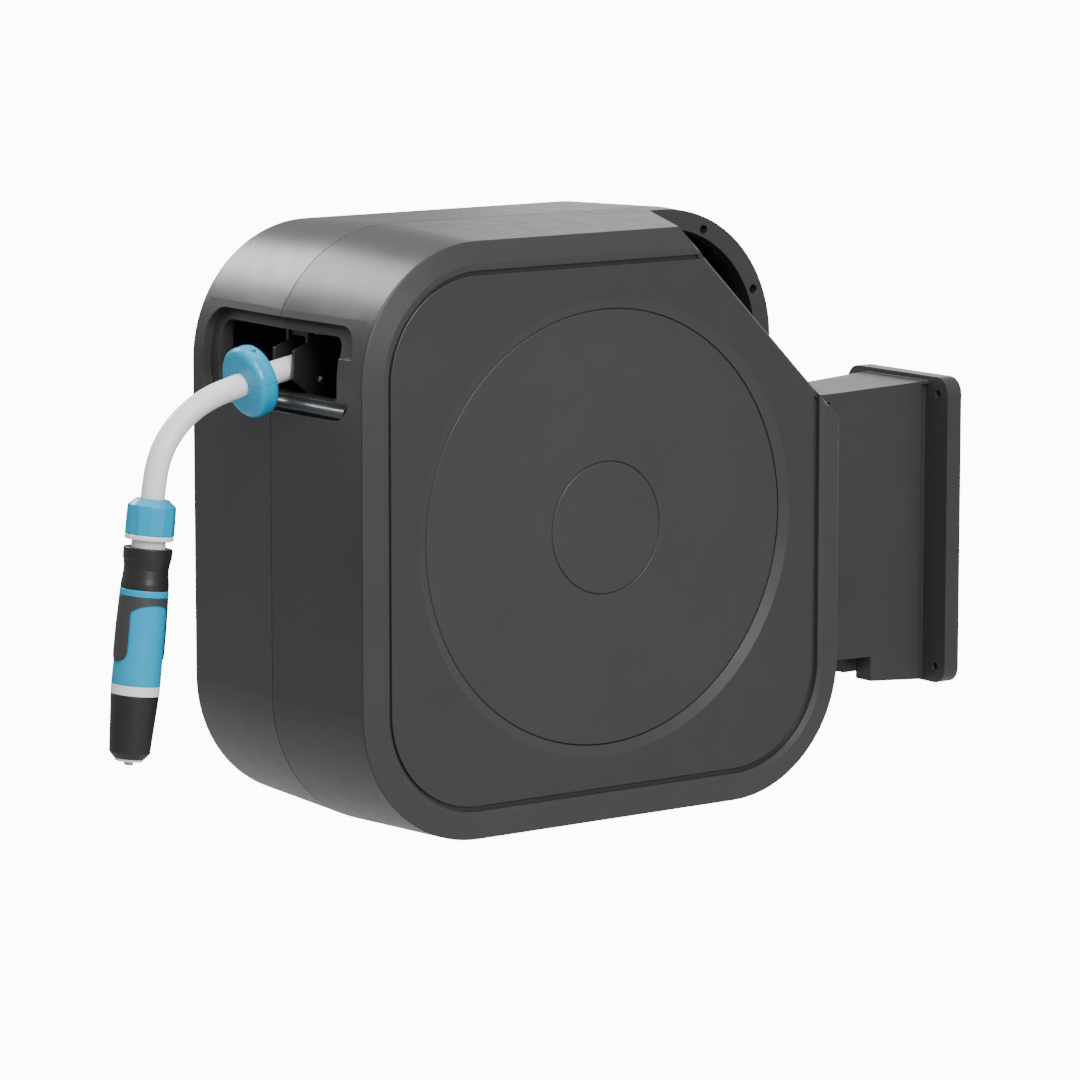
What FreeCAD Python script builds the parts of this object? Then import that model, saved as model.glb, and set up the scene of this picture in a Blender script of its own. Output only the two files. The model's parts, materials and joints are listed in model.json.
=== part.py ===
"""Wall-mounted garden hose reel that winds itself in.

Frame: millimetres, +Z up. The origin is the centre of the wall plate's back
face, the wall is at +Y, the hose comes out towards -Y, and the round cover
disc faces +X. Pieces of the reel itself are placed from the casing's own
reference point: the drum axis, in the plane of the front cover's outer edge.
"""
import FreeCAD, Part
import Sketcher
import math
import os
from FreeCAD import Placement, Rotation, Vector

doc = FreeCAD.newDocument("hose_reel")

# ---------------------------------------------------------------- sizes

DIMENSIONS = [
    # word, value, what it is
    ("plate_width", 117.0, "wall plate, across"),
    ("plate_height", 231.0, "wall plate, up"),
    ("plate_thick", 13.3, "wall plate thickness"),
    ("plate_corner", 12.5, "wall plate corner radius"),
    ("plate_hole_dx", 94.0, "wall screw spacing across"),
    ("plate_hole_dz", 206.0, "wall screw spacing up"),
    ("plate_hole", 2.8, "wall screw hole radius"),
    ("arm_front_y", -102.5, "front edge of the arm's side walls"),
    ("arm_front_half", 29.0, "half width of the arm at its front"),
    ("arm_back_half", 36.5, "half width of the arm at the plate"),
    ("arm_front_top", 107.6, "arm top at its front"),
    ("arm_back_top", 112.0, "arm top at the plate"),
    ("arm_front_low", -109.0, "arm bottom at its front"),
    ("arm_back_low", -114.2, "arm bottom at the plate"),
    ("arm_wall", 5.0, "arm side wall"),
    ("notch_top", -92.5, "top of the notch under the arm"),
    ("notch_back_y", -63.5, "back of the notch under the arm"),
    ("floor_thick", 6.0, "arm floor and lower ear"),
    ("roof_thick", 6.0, "arm roof and upper ear"),
    ("groove_wide", 6.2, "groove between arm side and plate"),
    ("groove_deep", 4.0, "depth of that groove"),
    ("foot_half", 15.0, "half width of the channel under the arm"),
    ("foot_block_y", -75.5, "front of the block in that channel"),
    ("foot_block_low", -106.0, "underside of that block"),
    ("pin_y", -119.5, "swivel pin axis, from the wall"),
    ("pin_radius", 6.0, "swivel pin radius"),
    ("ear_radius", 16.0, "rounded end of the ears"),
    ("running", 0.06, "radial clearance of a shaft in its bush"),
    ("gap", 0.4, "clearance between pieces that pass"),
    ("lug_radius", 14.0, "swivel lug barrel radius"),
    ("lug_tall", 46.0, "height of one swivel lug"),
    ("lug_web", 15.0, "thickness of a lug's web"),
    ("saddle_thick", 6.0, "swivel saddle plate thickness"),
    ("saddle_half", 27.0, "half width of the saddle plate"),
    ("saddle_low", -82.0, "saddle plate bottom"),
    ("saddle_top", 98.0, "saddle plate top"),
    ("bush_wall", 2.0, "wall of a bush"),
    ("face_x", 106.0, "front cover's outer edge plane"),
    ("case_y", -364.5, "drum axis, from the wall"),
    ("case_z", 41.0, "drum axis, above the plate's centre"),
    ("case_size", 415.0, "casing height and length at the front"),
    ("case_corner", 95.0, "casing corner radius at the front"),
    ("front_deep", 106.0, "front edge plane to seam"),
    ("rear_deep", 107.0, "seam to rear face"),
    ("draft", 2.107, "draft of the casing sides, degrees"),
    ("seam_gap", 0.7, "visible hairline between casing pieces"),
    ("shell", 3.4, "casing wall"),
    ("rear_wall", 6.5, "casing rear wall"),
    ("rear_round", 3.5, "rounding of the rear edges"),
    ("cut_front", 189.9, "drum axis to the corner cut, front plane"),
    ("cut_lean", 19.2, "lean of the corner cut, degrees"),
    ("cut_back", 84.0, "how deep the corner cut runs"),
    ("grip_inner", 186.5, "drum axis to the hand hold's inner wall"),
    ("grip_lip", 14.0, "width of the rim round the hand hold"),
    ("grip_lip_thick", 14.0, "thickness of that rim"),
    ("grip_deep", 58.0, "depth of the hand hold"),
    ("grip_hole", 3.4, "radius of the holes in the rim"),
    ("bezel_wide", 15.5, "raised bezel, outer edge to crest"),
    ("bezel_high", 4.0, "crest above the outer edge"),
    ("crest_wide", 0.3, "flat along the bezel's crest"),
    ("bank_wide", 4.2, "slope from the crest down to the groove"),
    ("bank_deep", 1.7, "fall of that slope"),
    ("panel_edge", 23.3, "outer edge to the flat panel"),
    ("panel_high", 0.7, "flat panel above the outer edge plane"),
    ("moat_deep", 2.0, "groove floor below the outer edge plane"),
    ("dish_outer", 161.5, "round dish, outer radius"),
    ("dish_inner", 154.0, "round dish, inner radius"),
    ("dish_deep", 2.4, "dish floor below the outer edge plane"),
    ("disc_thick", 3.0, "cover disc thickness"),
    ("cap_radius", 46.6, "hub cap radius"),
    ("mouth_middle", -106.0, "middle of the hose mouth"),
    ("mouth_wide", 182.0, "hose mouth frame, across"),
    ("mouth_low", 88.0, "hose mouth frame, lower edge"),
    ("mouth_high", 152.3, "hose mouth frame, upper edge"),
    ("mouth_step", 6.5, "depth of the ledge round the opening"),
    ("mouth_round", 18.0, "corner radius of the frame"),
    ("mouth_rim", 17.5, "depth of the rim behind the mouth"),
    ("mouth_bead", 3.9, "radius of the bead along the lower edge"),
    ("open_left", -185.0, "opening in the ledge, rear end"),
    ("open_right", -36.0, "opening in the ledge, front end"),
    ("open_low", 99.5, "opening in the ledge, lower edge"),
    ("open_high", 143.8, "opening in the ledge, upper edge"),
    ("open_round", 9.0, "corner radius of that opening"),
    ("bulkhead_x", -26.0, "rear face of the inner bulkhead"),
    ("bulkhead_thick", 4.0, "inner bulkhead"),
    ("axle_radius", 12.0, "fixed water axle"),
    ("axle_bore", 6.0, "water way in the axle"),
    ("flange_radius", 160.0, "drum flange radius"),
    ("flange_thick", 4.0, "drum flange"),
    ("drum_half", 54.0, "half of the winding width"),
    ("core_radius", 62.0, "drum core radius"),
    ("core_wall", 3.0, "drum core wall"),
    ("winding_radius", 144.5, "outside of the wound hose"),
    ("ratchet_radius", 40.0, "ratchet wheel tip radius"),
    ("pulley_radius", 22.0, "belt pulley radius"),
    ("belt_wide", 8.0, "drive belt width"),
    ("belt_thick", 2.4, "drive belt thickness"),
    ("screw_y", -162.0, "traverse screw axis"),
    ("screw_z", 156.0, "traverse screw axis"),
    ("screw_radius", 8.0, "traverse screw radius"),
    ("guide_y", -180.0, "guide rod axis"),
    ("guide_z", 76.0, "guide rod axis"),
    ("guide_radius", 5.0, "guide rod radius"),
    ("cheek_half", 13.5, "outside of a hose cheek, from the middle"),
    ("cheek_thick", 3.0, "hose cheek thickness"),
    ("hose_radius", 8.25, "hose outside radius"),
    ("stopper_radius", 25.0, "hose stopper radius"),
    ("stopper_thick", 16.0, "hose stopper thickness"),
    ("stopper_y", -227.4, "hose stopper centre"),
    ("stopper_z", 109.4, "hose stopper centre"),
    ("stopper_lean", 13.5, "droop of the hose at the stopper, degrees"),
    ("nozzle_y", -307.2, "top of the hose nut"),
    ("nozzle_z", 34.8, "top of the hose nut"),
    ("nozzle_lean", 6.9, "lean of the nozzle, degrees"),
]

sheet = doc.addObject("Spreadsheet::Sheet", "sizes")


class Size:
    """A number that remembers the sheet expression it comes from."""

    def __init__(self, value, text):
        self.value = float(value)
        self.text = text

    def __add__(self, other):
        other = as_size(other)
        return Size(self.value + other.value, f"({self.text} + {other.text})")

    def __sub__(self, other):
        other = as_size(other)
        return Size(self.value - other.value, f"({self.text} - {other.text})")

    def __mul__(self, other):
        other = as_size(other)
        return Size(self.value * other.value, f"({self.text} * {other.text})")

    def __truediv__(self, other):
        other = as_size(other)
        return Size(self.value / other.value, f"({self.text} / {other.text})")

    def __radd__(self, other):
        return as_size(other) + self

    def __rsub__(self, other):
        return as_size(other) - self

    def __rmul__(self, other):
        return as_size(other) * self

    def __neg__(self):
        return Size(-self.value, f"(0 - {self.text})")


def as_size(number):
    if isinstance(number, Size):
        return number
    if number < 0:
        return Size(number, f"(0 - {-number:.6f})")
    return Size(number, f"{number:.6f}")


def tan_of(angle):
    return Size(math.tan(math.radians(angle.value)), f"tan({angle.text} * 1 deg)")


def sin_of(angle):
    return Size(math.sin(math.radians(angle.value)), f"sin({angle.text} * 1 deg)")


def cos_of(angle):
    return Size(math.cos(math.radians(angle.value)), f"cos({angle.text} * 1 deg)")


class Sheet:
    """The sheet's cells by name, so that S.shell is the cell called shell."""


S = Sheet()
for row, (word, number, note) in enumerate(DIMENSIONS, start=1):
    sheet.set(f"A{row}", word)
    sheet.set(f"B{row}", str(number))
    sheet.setAlias(f"B{row}", word)
    sheet.set(f"C{row}", note)
    setattr(S, word, Size(number, f"sizes.{word}"))
doc.recompute()

ROW = (as_size(0), as_size(0), as_size(0))
CASE = (S.face_x, S.case_y, S.case_z)
TURN = {
    "X": Rotation(Vector(0, 1, 0), 90),
    "Y": Rotation(Vector(1, 0, 0), -90),
    "Z": Rotation(),
}

# ---------------------------------------------------------------- helpers

NODES = []


def bind(obj, prop, size):
    """Set a property to a size and keep it tied to the sheet."""
    size = as_size(size)
    obj.setExpression(prop, size.text)
    return size


def put(obj, at, frame, turn=Rotation()):
    """Place an object at a point of a frame, tied to the sheet."""
    obj.Placement = Placement(Vector(0, 0, 0), turn)
    for word, start, offset in zip("xyz", frame, at):
        bind(obj, f"Placement.Base.{word}", start + offset)


def box(name, low, high, frame=ROW):
    """Box between two corners."""
    obj = doc.addObject("Part::Box", name)
    for prop, a, b in zip(("Length", "Width", "Height"), low, high):
        bind(obj, prop, as_size(b) - a)
    put(obj, low, frame)
    return obj


def rod(name, start, radius, length, axis="X", frame=ROW):
    """Cylinder that starts at a point and runs along +axis."""
    obj = doc.addObject("Part::Cylinder", name)
    bind(obj, "Radius", radius)
    bind(obj, "Height", length)
    put(obj, start, frame, TURN[axis])
    return obj


def cone(name, start, radius_a, radius_b, length, axis="X", frame=ROW):
    """Cone that starts at a point with radius_a and runs along +axis."""
    obj = doc.addObject("Part::Cone", name)
    bind(obj, "Radius1", radius_a)
    bind(obj, "Radius2", radius_b)
    bind(obj, "Height", length)
    put(obj, start, frame, TURN[axis])
    return obj


def join(name, *pieces):
    obj = doc.addObject("Part::MultiFuse", name)
    obj.Shapes = list(pieces)
    return obj


def cut(name, base, *tools):
    tool = tools[0]
    if len(tools) > 1:
        tool = join(name + "_tools", *tools)
    obj = doc.addObject("Part::Cut", name)
    obj.Base = base
    obj.Tool = tool
    return obj


def common(name, *pieces):
    obj = doc.addObject("Part::MultiCommon", name)
    obj.Shapes = list(pieces)
    return obj


def node(obj, label):
    """Name an object as one sub-part of the reel."""
    obj.Label = label
    NODES.append(obj)
    return obj


def new_body(name, at=(0, 0, 0), frame=ROW, turn=Rotation()):
    body = doc.addObject("PartDesign::Body", name)
    put(body, at, frame, turn)
    return body


def sketch_on(body, role, name, away=0):
    """Sketch on one of the body's own origin planes, moved along its normal."""
    plane = [f for f in body.Origin.OriginFeatures if f.Role == role][0]
    sketch = body.newObject("Sketcher::SketchObject", name)
    sketch.AttachmentSupport = [(plane, "")]
    sketch.MapMode = "FlatFace"
    bind(sketch, "AttachmentOffset.Base.z", away)
    return sketch


def pin_down(sketch, geo, pos, direction, size):
    """Hold one end of a line at a distance from the sketch's origin."""
    size = as_size(size)
    if abs(size.value) < 1e-9:
        axis = {"DistanceX": -2, "DistanceY": -1}[direction]
        sketch.addConstraint(Sketcher.Constraint("PointOnObject", geo, pos, axis))
        return
    if size.value > 0:
        ends = (-1, 1, geo, pos)
        text = size.text
    else:
        ends = (geo, pos, -1, 1)
        text = f"0 - {size.text}"
    held = Sketcher.Constraint(direction, *ends, abs(size.value))
    index = sketch.addConstraint(held)
    sketch.setExpression(f"Constraints[{index}]", text)


def outline(sketch, points):
    """Closed outline through points whose coordinates are sizes."""
    flat = [Vector(as_size(u).value, as_size(v).value, 0) for u, v in points]
    count = len(points)
    for i in range(count):
        sketch.addGeometry(Part.LineSegment(flat[i], flat[(i + 1) % count]), False)
    for i in range(count):
        meet = Sketcher.Constraint("Coincident", i, 2, (i + 1) % count, 1)
        sketch.addConstraint(meet)
    for i, (u, v) in enumerate(points):
        pin_down(sketch, i, 1, "DistanceX", u)
        pin_down(sketch, i, 1, "DistanceY", v)


def rounded(sketch, middle, wide, high, corner):
    """Rounded rectangle of four lines and four tangent arcs."""
    wide, high, corner = as_size(wide), as_size(high), as_size(corner)
    mu, mv = as_size(middle[0]), as_size(middle[1])
    a, b, r = wide.value / 2, high.value / 2, corner.value
    cu, cv = mu.value, mv.value
    lines = [
        ((cu - a + r, cv - b), (cu + a - r, cv - b)),
        ((cu + a, cv - b + r), (cu + a, cv + b - r)),
        ((cu + a - r, cv + b), (cu - a + r, cv + b)),
        ((cu - a, cv + b - r), (cu - a, cv - b + r)),
    ]
    for start, end in lines:
        line = Part.LineSegment(Vector(*start, 0), Vector(*end, 0))
        sketch.addGeometry(line, False)
    corners = [(1, -1, 270), (1, 1, 0), (-1, 1, 90), (-1, -1, 180)]
    for side_u, side_v, start in corners:
        centre = Vector(cu + side_u * (a - r), cv + side_v * (b - r), 0)
        circle = Part.Circle(centre, Vector(0, 0, 1), r)
        arc = Part.ArcOfCircle(circle, math.radians(start), math.radians(start + 90))
        sketch.addGeometry(arc, False)
    for i in range(4):
        arc = 4 + i
        sketch.addConstraint(Sketcher.Constraint("Tangent", i, 2, arc, 1))
        sketch.addConstraint(Sketcher.Constraint("Tangent", arc, 2, (i + 1) % 4, 1))
    for i in (0, 2):
        sketch.addConstraint(Sketcher.Constraint("Horizontal", i))
    for i in (1, 3):
        sketch.addConstraint(Sketcher.Constraint("Vertical", i))
    for arc in (5, 6, 7):
        sketch.addConstraint(Sketcher.Constraint("Equal", 4, arc))
    index = sketch.addConstraint(Sketcher.Constraint("Radius", 4, r))
    sketch.setExpression(f"Constraints[{index}]", corner.text)
    pin_down(sketch, 0, 1, "DistanceY", mv - high / 2)
    pin_down(sketch, 2, 1, "DistanceY", mv + high / 2)
    pin_down(sketch, 1, 1, "DistanceX", mu + wide / 2)
    pin_down(sketch, 3, 1, "DistanceX", mu - wide / 2)


def pad(body, sketch, length, name, back=False, taper=None):
    feature = body.newObject("PartDesign::Pad", name)
    feature.Profile = sketch
    bind(feature, "Length", length)
    feature.Reversed = back
    if taper is not None:
        bind(feature, "TaperAngle", taper)
    body.Tip = feature
    return feature


def turned(name, points, at, axis="X", frame=ROW, turn=None):
    """Turned piece: points are (distance along the axis, radius) pairs."""
    body = new_body(name, at, frame, TURN[axis] if turn is None else turn)
    sketch = sketch_on(body, "XZ_Plane", name + "_profile")
    outline(sketch, [(radius, along) for along, radius in points])
    spin = body.newObject("PartDesign::Revolution", name + "_turn")
    spin.Profile = sketch
    spin.ReferenceAxis = (sketch, ["V_Axis"])
    spin.Angle = 360
    body.Tip = spin
    return body


def ring(name, start, inner, outer, length, axis="X", frame=ROW):
    """Plain bush, spacer or washer."""
    points = [(0, inner), (0, outer), (length, outer), (length, inner)]
    return turned(name, points, start, axis, frame)


def slab(name, role, middle, wide, high, corner, start, length, at=(0, 0, 0),
         frame=CASE, back=False, taper=None):
    """Rounded-rectangle plate or frustum; start is the sketch plane's offset."""
    body = new_body(name, at, frame)
    sketch = sketch_on(body, role, name + "_outline", start)
    rounded(sketch, middle, wide, high, corner)
    pad(body, sketch, length, name + "_pad", back, taper)
    return body


def corner_tool(name, inner, lean, start_x, end_x):
    """Big block beyond a plane across the top wall-side corner of the casing.

    At x = 0 the plane is `inner` from the drum axis, and it leans outwards by
    `lean` degrees towards the rear."""
    reach = 120.0
    body = new_body(name, (0, 0, 0), CASE, Rotation(Vector(1, 0, 0), -45))
    sketch = sketch_on(body, "XZ_Plane", name + "_outline")
    slope = as_size(0)
    if lean is not None:
        slope = tan_of(lean)
    near = inner - start_x * slope
    far = inner - end_x * slope
    outline(sketch, [(start_x, near), (end_x, far),
                     (end_x, far + reach), (start_x, near + reach)])
    feature = pad(body, sketch, 500, name + "_pad")
    feature.Midplane = True
    return body


def soften(body, name, radius, test):
    """Round the edges whose both ends pass a test, in the body's own frame."""
    doc.recompute()
    base = body.Tip
    names = []
    for i, edge in enumerate(base.Shape.Edges, start=1):
        if all(test(v.Point) for v in edge.Vertexes):
            names.append(f"Edge{i}")
    feature = body.newObject("PartDesign::Fillet", name)
    feature.Base = (base, names)
    bind(feature, "Radius", radius)
    body.Tip = feature
    return feature


# ---------------------------------------------------------------- wall bracket

def arm_wedge(name, wall, floor, roof, front_y, back_y):
    """The tapered box of the arm, inset by wall, floor and roof."""
    obj = doc.addObject("Part::Wedge", name)
    half_a = S.arm_front_half - wall
    half_b = S.arm_back_half - wall
    values = {
        "Xmin": -half_a, "Xmax": half_a, "X2min": -half_b, "X2max": half_b,
        "Zmin": S.arm_front_low + floor, "Zmax": S.arm_front_top - roof,
        "Z2min": S.arm_back_low + floor, "Z2max": S.arm_back_top - roof,
        "Ymin": front_y, "Ymax": back_y,
    }
    for prop, size in values.items():
        bind(obj, prop, size)
    return obj


plate_front = -S.plate_thick
plate = slab("plate", "XZ_Plane", (0, 0), S.plate_width, S.plate_height,
             S.plate_corner, 0, S.plate_thick, frame=ROW)
arm_outer = arm_wedge("arm_outer", 0, 0, 0, S.arm_front_y, plate_front + 1)
hollow_low = S.notch_top + S.floor_thick
arm_inner = box("arm_inner",
                (-(S.arm_front_half - S.arm_wall), S.arm_front_y - 1, hollow_low),
                (S.arm_front_half - S.arm_wall, plate_front,
                 S.arm_front_top - S.roof_thick))
notch = box("notch", (-60, S.arm_front_y - 1, -140), (60, S.notch_back_y, S.notch_top))
channel = box("channel", (-S.foot_half, S.notch_back_y - 1, -140),
              (S.foot_half, plate_front, S.foot_block_low))
foot_block = box("foot_block", (-S.foot_half, S.foot_block_y, S.foot_block_low),
                 (S.foot_half, S.notch_back_y + 2, S.notch_top + 1))
side_grooves = [
    box(f"side_groove_{word}", (low, plate_front - S.groove_wide, -140),
        (high, plate_front, S.arm_back_top - 2.5))
    for word, low, high in (
        ("left", -60, S.groove_deep - S.arm_back_half),
        ("right", S.arm_back_half - S.groove_deep, 60))
]


def ear(name, low, high):
    """Flat ear that carries the swivel pin in front of the arm."""
    tongue = box(name + "_tongue", (-S.ear_radius, S.pin_y, low),
                 (S.ear_radius, S.arm_front_y + 4, high))
    root = box(name + "_root", (-S.arm_front_half, S.arm_front_y - 8, low),
               (S.arm_front_half, S.arm_front_y + 4, high))
    tip = rod(name + "_tip", (0, S.pin_y, low), S.ear_radius, high - low, "Z")
    return join(name, tongue, root, tip)


roof_low = S.arm_front_top - S.roof_thick
upper_ear = ear("upper_ear", roof_low, S.arm_front_top)
lower_ear = ear("lower_ear", S.notch_top, S.notch_top + S.floor_thick)
arm_body = cut("arm_body", join("arm_blank", arm_outer, plate),
               arm_inner, notch, channel, *side_grooves)
plate_holes = []
hole_places = [(i, k) for i in (-1, 1) for k in (-1, 1)]
for i, k in hole_places:
    centre = (S.plate_hole_dx / 2 * i, -S.plate_thick - 1, S.plate_hole_dz / 2 * k)
    plate_holes.append(rod(f"plate_hole_{i + 1}{k + 1}", centre, S.plate_hole,
                           S.plate_thick + 2, "Y"))
pin_bore = rod("pin_bore", (0, S.pin_y, -140), S.pin_radius + 0.05, 280, "Z")
bracket_blank = join("bracket_blank", arm_body, foot_block, upper_ear, lower_ear)
node(cut("bracket_cut", bracket_blank, pin_bore, *plate_holes), "wall_bracket")

# Swivel pin: flat head on the roof, groove for a clip under the lower ear.
pin_low = S.notch_top - 9
pin_long = S.arm_front_top - pin_low
clip_at = as_size(3.5)
clip_thick = as_size(1.6)
node(turned("swivel_pin", [
    (0, 0), (0, S.pin_radius - 1), (1, S.pin_radius), (clip_at, S.pin_radius),
    (clip_at, S.pin_radius - 1.2), (clip_at + clip_thick, S.pin_radius - 1.2),
    (clip_at + clip_thick, S.pin_radius), (pin_long + 0.05, S.pin_radius),
    (pin_long + 0.05, S.pin_radius + 4), (pin_long + 3, S.pin_radius + 4),
    (pin_long + 4.5, S.pin_radius + 2.5), (pin_long + 4.5, 0),
], (0, S.pin_y, pin_low), "Z"), "swivel_pin")
clip_ring = rod("clip_ring", (0, S.pin_y, pin_low + clip_at + 0.1),
                S.pin_radius + 4, clip_thick - 0.2, "Z")
clip_hole = rod("clip_hole", (0, S.pin_y, pin_low), S.pin_radius - 1.1, 20, "Z")
clip_mouth = box("clip_mouth", (-3, S.pin_y - 20, pin_low), (3, S.pin_y, pin_low + 20))
node(cut("clip_cut", clip_ring, clip_hole, clip_mouth), "pin_clip")

# ---------------------------------------------------------------- swivel saddle

saddle_y = S.case_y + S.case_size / 2 + 4.3
lug_low = S.notch_top + S.floor_thick + S.gap
lug_high = roof_low - S.gap
bush_radius = S.pin_radius + S.running + S.bush_wall
saddle_plate = slab("saddle_plate", "XZ_Plane", (0, (S.saddle_low + S.saddle_top) / 2),
                    S.saddle_half * 2, S.saddle_top - S.saddle_low, 8, 0,
                    S.saddle_thick, (0, saddle_y + S.saddle_thick, 0), ROW)
lugs = []
for word, low in (("lower", lug_low), ("upper", lug_high - S.lug_tall)):
    barrel = rod(f"{word}_barrel", (0, S.pin_y, low), S.lug_radius, S.lug_tall, "Z")
    web = box(f"{word}_web", (-S.lug_web / 2, saddle_y + 1, low),
              (S.lug_web / 2, S.pin_y, low + S.lug_tall))
    lugs += [barrel, web]
saddle_bore = rod("saddle_bore", (0, S.pin_y, -140), bush_radius, 280, "Z")
saddle_holes = [
    rod(f"saddle_hole_{i + 1}_{k}", (17 * i, saddle_y - 1, height), 2.6, 20, "Y")
    for i in (-1, 1) for k, height in enumerate((-70.0, 8.0, 86.0))
]
node(cut("saddle_cut", join("saddle_blank", saddle_plate, *lugs),
         saddle_bore, *saddle_holes), "swivel_saddle")
bushes = [
    ring(f"swivel_bush_{word}", (0, S.pin_y, low), S.pin_radius + S.running,
         bush_radius, S.lug_tall, "Z")
    for word, low in (("lower", lug_low), ("upper", lug_high - S.lug_tall))
]
node(join("swivel_bush_pair", *bushes), "swivel_bushes")
screw_heads = []
for i in (-1, 1):
    for k, height in enumerate((-70.0, 8.0, 86.0)):
        screw_heads.append(turned(f"saddle_screw_{i + 1}_{k}", [
            (0, 0), (0, 2.5), (S.saddle_thick, 2.5), (S.saddle_thick, 4.6),
            (S.saddle_thick + 1.2, 4.6), (S.saddle_thick + 2.6, 3.0),
            (S.saddle_thick + 2.6, 0)], (17 * i, saddle_y, height), "Y"))
node(join("saddle_screw_set", *screw_heads), "saddle_screws")

# ---------------------------------------------------------------- casing shells

def casing_block(name, start, size, length, back, taper, corner, wall=0, end_gap=0):
    """Drafted casing block, inset by a wall."""
    wall = as_size(wall)
    return slab(name, "YZ_Plane", (0, 0), size - wall * 2, size - wall * 2,
                corner - wall, start, length - end_gap, back=back, taper=taper)


def mouth_prism(name, low, high, corner):
    """Rounded prism that goes in through the mouth wall; corners are (x, z)."""
    body = new_body(name, (0, 0, 0), CASE)
    sketch = sketch_on(body, "XZ_Plane", name + "_outline", S.case_size / 2 + 12)
    middle = ((low[0] + high[0]) / 2, (low[1] + high[1]) / 2)
    rounded(sketch, middle, high[0] - low[0], high[1] - low[1], corner)
    pad(body, sketch, S.mouth_rim + 20, name + "_pad", True)
    return body


def mouth_block(name, x_low, x_high):
    """Thick rim behind the hose mouth on one shell."""
    return box(name, (x_low, -(S.case_size / 2) - 5, S.mouth_low - 5),
               (x_high, S.mouth_rim - S.case_size / 2, S.mouth_high + 5), CASE)


front_x = -S.seam_gap
front_long = S.front_deep - S.seam_gap * 1.5
outer_front = casing_block("outer_front", front_x, S.case_size, front_long, True,
                           S.draft, S.case_corner)
inner_front = casing_block("inner_front", 1, S.case_size, S.front_deep + 5, True,
                           S.draft, S.case_corner, S.shell)
corner_cut = corner_tool("corner_cut", S.cut_front, S.cut_lean, 20, -S.cut_back)
corner_skin = corner_tool("corner_skin", S.cut_front - S.shell, S.cut_lean, 20,
                          S.shell - S.cut_back)
grip_zone = corner_tool("grip_zone", S.grip_inner, None, -S.cut_back, -140)
grip_skin = corner_tool("grip_skin", S.grip_inner - S.shell, None,
                        S.shell - S.cut_back, -140)

# The hose mouth: an opening in a ledge that lies one step below the surface.
# Beside the opening's front end the ledge is left out, between two heights.
mouth_recess = mouth_prism("mouth_recess",
                           (S.mouth_middle - S.mouth_wide / 2, S.mouth_low),
                           (S.mouth_middle + S.mouth_wide / 2, S.mouth_high),
                           S.mouth_round)
mouth_open = mouth_prism("mouth_open", (S.open_left, S.open_low),
                         (S.open_right, S.open_high), S.open_round)
mouth_keep = box("mouth_keep", (S.open_right + 7.5, -230, S.open_low + 1.5),
                 (0, -180, S.open_high - 13), CASE)
front_ledge = casing_block("front_ledge", 1, S.case_size, S.front_deep + 5, True,
                           S.draft, S.case_corner, S.mouth_step)
front_mouth = join("front_mouth", mouth_open,
                   cut("front_recess", mouth_recess, front_ledge, mouth_keep))

front_blank = cut("front_blank", outer_front, corner_cut, grip_zone)
front_hollow = cut("front_hollow", inner_front, corner_skin, grip_skin)
front_rim = common("front_rim", outer_front, mouth_block(
    "front_rim_box", -(S.front_deep - S.seam_gap / 2), -8))
front_trim = cut("front_trim", cut("front_skin", front_blank, front_hollow), front_mouth)
front_rim_cut = cut("front_rim_cut", front_rim, front_mouth)
bead_z = S.mouth_low + S.mouth_bead + 1.1
bead_y = S.mouth_bead - 1 - S.case_size / 2
bead_long = S.mouth_wide / 2 - 7 - S.seam_gap / 2
front_bead = rod("front_bead", (-(S.front_deep - S.seam_gap / 2), bead_y, bead_z),
                 S.mouth_bead, bead_long, "X", CASE)
node(join("front_shell_join", front_trim, front_rim_cut, front_bead), "front_shell")

slope_back = S.front_deep * tan_of(S.draft)
seam_size = S.case_size + slope_back * 2
seam_corner = S.case_corner + slope_back
rear_x = -(S.front_deep + S.seam_gap / 2)
rear_end = -(S.front_deep + S.rear_deep)
outer_rear = slab("outer_rear", "YZ_Plane", (0, 0), seam_size, seam_size, seam_corner,
                  rear_x, S.rear_deep - S.seam_gap / 2, back=True, taper=-S.draft)
soften(outer_rear, "rear_soft", S.rear_round,
       lambda p: abs(p.x - rear_end.value) < 0.01)

inner_rear = slab("inner_rear", "YZ_Plane", (0, 0), seam_size - S.shell * 2,
                  seam_size - S.shell * 2, seam_corner - S.shell, rear_x + 1,
                  S.rear_deep - S.rear_wall + 1, back=True, taper=-S.draft)
at_grip = S.case_size + (S.cut_back + 0.3) * 2 * tan_of(S.draft)
grip_corner = S.case_corner + (at_grip - S.case_size) / 2
ext_blank = slab("ext_blank", "YZ_Plane", (0, 0), at_grip, at_grip, grip_corner,
                 -(S.cut_back + 0.3), S.front_deep - S.cut_back + 1, back=True,
                 taper=S.draft)
rear_zone = corner_tool("rear_zone", S.grip_inner + S.gap, None, -60, -160)
grip_floor_x = -(S.cut_back + S.grip_deep)
rear_reserve = corner_tool("rear_reserve", S.grip_inner + S.gap, None, -60,
                           grip_floor_x - S.shell)
ext = common("rear_corner_ext", ext_blank, rear_zone)
rear_hollow = cut("rear_hollow", inner_rear, rear_reserve)


def grip_room(name, inset, start, end):
    """Part of the hand hold: the corner outline inset, down to a depth."""
    size = at_grip - as_size(inset) * 2
    blank = slab(name + "_blank", "YZ_Plane", (0, 0), size, size,
                 grip_corner - inset, start, start - end, back=True)
    zone = corner_tool(name + "_zone", S.grip_inner + S.gap + S.shell, None, -60, -200)
    return common(name, blank, zone)


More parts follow.
